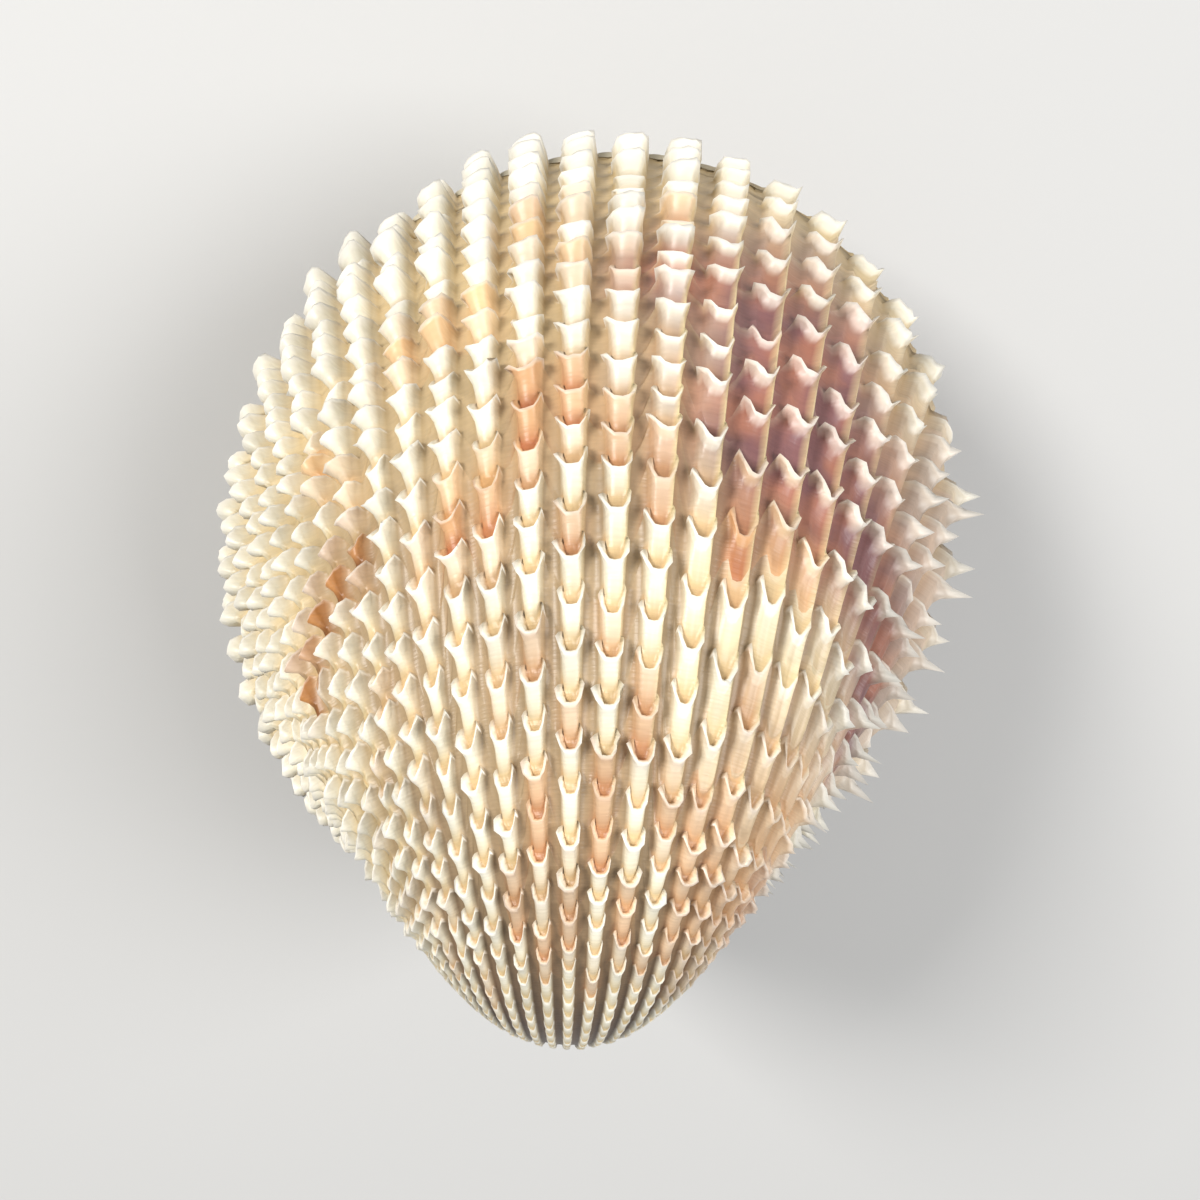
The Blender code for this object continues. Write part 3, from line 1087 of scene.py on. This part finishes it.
def make_ligament():
    """A sphere laid along X, blunted, furrowed, stretched and put in its place."""
    bm = bmesh.new()
    bmesh.ops.create_uvsphere(
        bm, u_segments=SEGMENTS_AROUND, v_segments=SEGMENTS_ALONG, radius=1)
    bmesh.ops.rotate(bm, verts=bm.verts, matrix=Matrix.Rotation(math.pi / 2, 3, "Y"))
    for vert in bm.verts:
        x, y, z = vert.co
        around = math.atan2(z, y)
        fuller = math.hypot(y, z) ** BLUNT_ENDS
        furrow = 1 - FIBRE_DEPTH * (0.5 + 0.5 * math.cos(FIBRES * around))
        thick = fuller * furrow
        point = Vector((x, math.cos(around) * thick, math.sin(around) * thick))
        vert.co = point * LIGAMENT_HALF_SIZE_MM + LIGAMENT_CENTRE_MM
    bmesh.ops.transform(bm, matrix=to_table, verts=bm.verts)
    for face in bm.faces:
        face.smooth = True
    mesh = bpy.data.meshes.new("hinge_ligament")
    bm.to_mesh(mesh)
    bm.free()
    piece = bpy.data.objects.new("hinge_ligament", mesh)
    bpy.context.scene.collection.objects.link(piece)
    return piece


hinge_ligament = make_ligament()
triangles = sum(len(face.vertices) - 2 for face in hinge_ligament.data.polygons)
print("ligament triangles:", triangles)

# %% [markdown]
# Conchiolin is the dark brown, fibrous stuff of the ligament.  It dries like
# old glue, so it is a little shiny, and its layers show as lengthwise streaks,
# which are noise stretched along the strap.

# %% The horny material
HORN_DARK = "#2f1a0e"
HORN_LIGHT = "#6b4223"
FIBRE_MM = 0.12
FIBRE_STRETCH = 0.08
HORN_BUMP_STRENGTH = 0.4
HORN_BUMP_MM = 0.05
HORN_ROUGHNESS = 0.45
HORN_IOR = 1.53


def horn_material():
    material = bpy.data.materials.new("brown_conchiolin")
    material.use_nodes = True
    tree = material.node_tree
    shader = tree.nodes["Principled BSDF"]
    place = add_node(tree, "ShaderNodeTexCoord", {}, {})
    per_mm = 1 / (FIBRE_MM * MM)
    stretched = add_node(tree, "ShaderNodeMapping", {}, {
        "Vector": place.outputs["Object"], "Scale": (per_mm * FIBRE_STRETCH, per_mm, per_mm)})
    fibres = add_node(tree, "ShaderNodeTexNoise", {}, {
        "Vector": stretched.outputs[0], "Scale": 1.0, "Detail": 3.0})
    colour = add_node(tree, "ShaderNodeMix", {"data_type": "RGBA"}, {
        FACTOR: fibres.outputs[0], FIRST: linear(HORN_DARK), SECOND: linear(HORN_LIGHT)})
    bump = add_node(tree, "ShaderNodeBump", {}, {
        "Height": fibres.outputs[0], "Strength": HORN_BUMP_STRENGTH,
        "Distance": HORN_BUMP_MM * MM})
    tree.links.new(colour.outputs[MIXED], shader.inputs["Base Color"])
    tree.links.new(bump.outputs[0], shader.inputs["Normal"])
    shader.inputs["Roughness"].default_value = HORN_ROUGHNESS
    shader.inputs["IOR"].default_value = HORN_IOR
    return material


hinge_ligament.data.materials.append(horn_material())
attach(hinge_ligament, "root")
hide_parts("ligament")
print("horn nodes:", len(hinge_ligament.data.materials[0].node_tree.nodes))

# %% [markdown]
# ## Floor
#
# A sheet of plain pale card, so that the shell's own whites stand out.

# %% Lay the floor
FLOOR_SIDE_M = 3.0
CARD_GREY = "#c4c4c3"
CARD_ROUGHNESS = 0.8

bpy.ops.mesh.primitive_plane_add(size=FLOOR_SIDE_M)
floor = bpy.context.object
floor.name = "floor"
card = bpy.data.materials.new("pale_card")
card.use_nodes = True
card_shader = card.node_tree.nodes["Principled BSDF"]
card_shader.inputs["Base Color"].default_value = linear(CARD_GREY)
card_shader.inputs["Roughness"].default_value = CARD_ROUGHNESS
floor.data.materials.append(card)
floor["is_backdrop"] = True
print("floor side, m:", FLOOR_SIDE_M)

# %% [markdown]
# ## Light
#
# A soft key from the front left lights the left sides of the scales, a wide
# fill opens the shadows on the tail side, and a pale room lights the rest.

# %% Light the shell
ROOM_STRENGTH = 0.4
SHELL_MIDDLE = Vector((0, 0, 0.03))
KEY = {"place": (-0.26, 0.22, 0.34), "side": 0.14, "watts": 1.95, "colour": (1.0, 0.98, 0.95)}
FILL = {"place": (0.30, 0.05, 0.40), "side": 0.3, "watts": 1.7, "colour": (1.0, 1.0, 1.0)}

world = bpy.data.worlds.new("pale_room")
bpy.context.scene.world = world
world.use_nodes = True
room_light = world.node_tree.nodes["Background"]
room_light.inputs["Color"].default_value = (1, 1, 1, 1)
room_light.inputs["Strength"].default_value = ROOM_STRENGTH


def area_light(name, place, side, watts, colour):
    """A square soft light, aimed at the middle of the shell."""
    data = bpy.data.lights.new(name, "AREA")
    data.energy = watts
    data.size = side
    data.color = colour
    light = bpy.data.objects.new(name, data)
    light.location = place
    aim = SHELL_MIDDLE - Vector(place)
    light.rotation_euler = aim.to_track_quat("-Z", "Y").to_euler()
    bpy.context.scene.collection.objects.link(light)


area_light("key", **KEY)
area_light("fill", **FILL)
print("lights:", [light.name for light in bpy.data.lights])

# %% [markdown]
# ## Camera
#
# The camera looks straight down the height of the right valve, from close by,
# so that the belly edge is at the top of the picture and the beaks below.  Its
# place is known in the shell's own frame, so it follows the lean.

# %% Place the camera
CAMERA_PLACE_MM = Vector((2.71, 21.18, 92.26))
CAMERA_LOOK = Vector((0.012, 0.0017, -0.9999))
CAMERA_UP = Vector((0.0285, 0.9996, 0.002))
SENSOR_MM = 36
LENS_MM = 39.336
NEAREST_M = 0.001

camera_data = bpy.data.cameras.new("camera")
camera_data.sensor_width = SENSOR_MM
camera_data.lens = LENS_MM
camera_data.clip_start = NEAREST_M
camera = bpy.data.objects.new("camera", camera_data)
look = (lean @ CAMERA_LOOK).normalized()
right = look.cross(lean @ CAMERA_UP).normalized()
up = right.cross(look)
turned = Matrix((right, up, -look)).transposed().to_4x4()
camera.matrix_world = Matrix.Translation(to_table @ CAMERA_PLACE_MM) @ turned
bpy.context.scene.collection.objects.link(camera)
bpy.context.scene.camera = camera
bpy.context.scene.view_settings.view_transform = "Standard"
print("camera height, mm:", round(camera.matrix_world.translation.z / MM, 1))

# %% [markdown]
# ## Sizes
#
# The visual shell should fill the same box as the solid one.

# %% Write down the sizes
shown_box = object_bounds()
boxes = {"cad": cad_box, "visual": shown_box}
boxes = {name: [list(corner) for corner in box] for name, box in boxes.items()}
for box_name, box in boxes.items():
    print(box_name, "box, mm:", [[round(side / MM, 2) for side in corner] for corner in box])
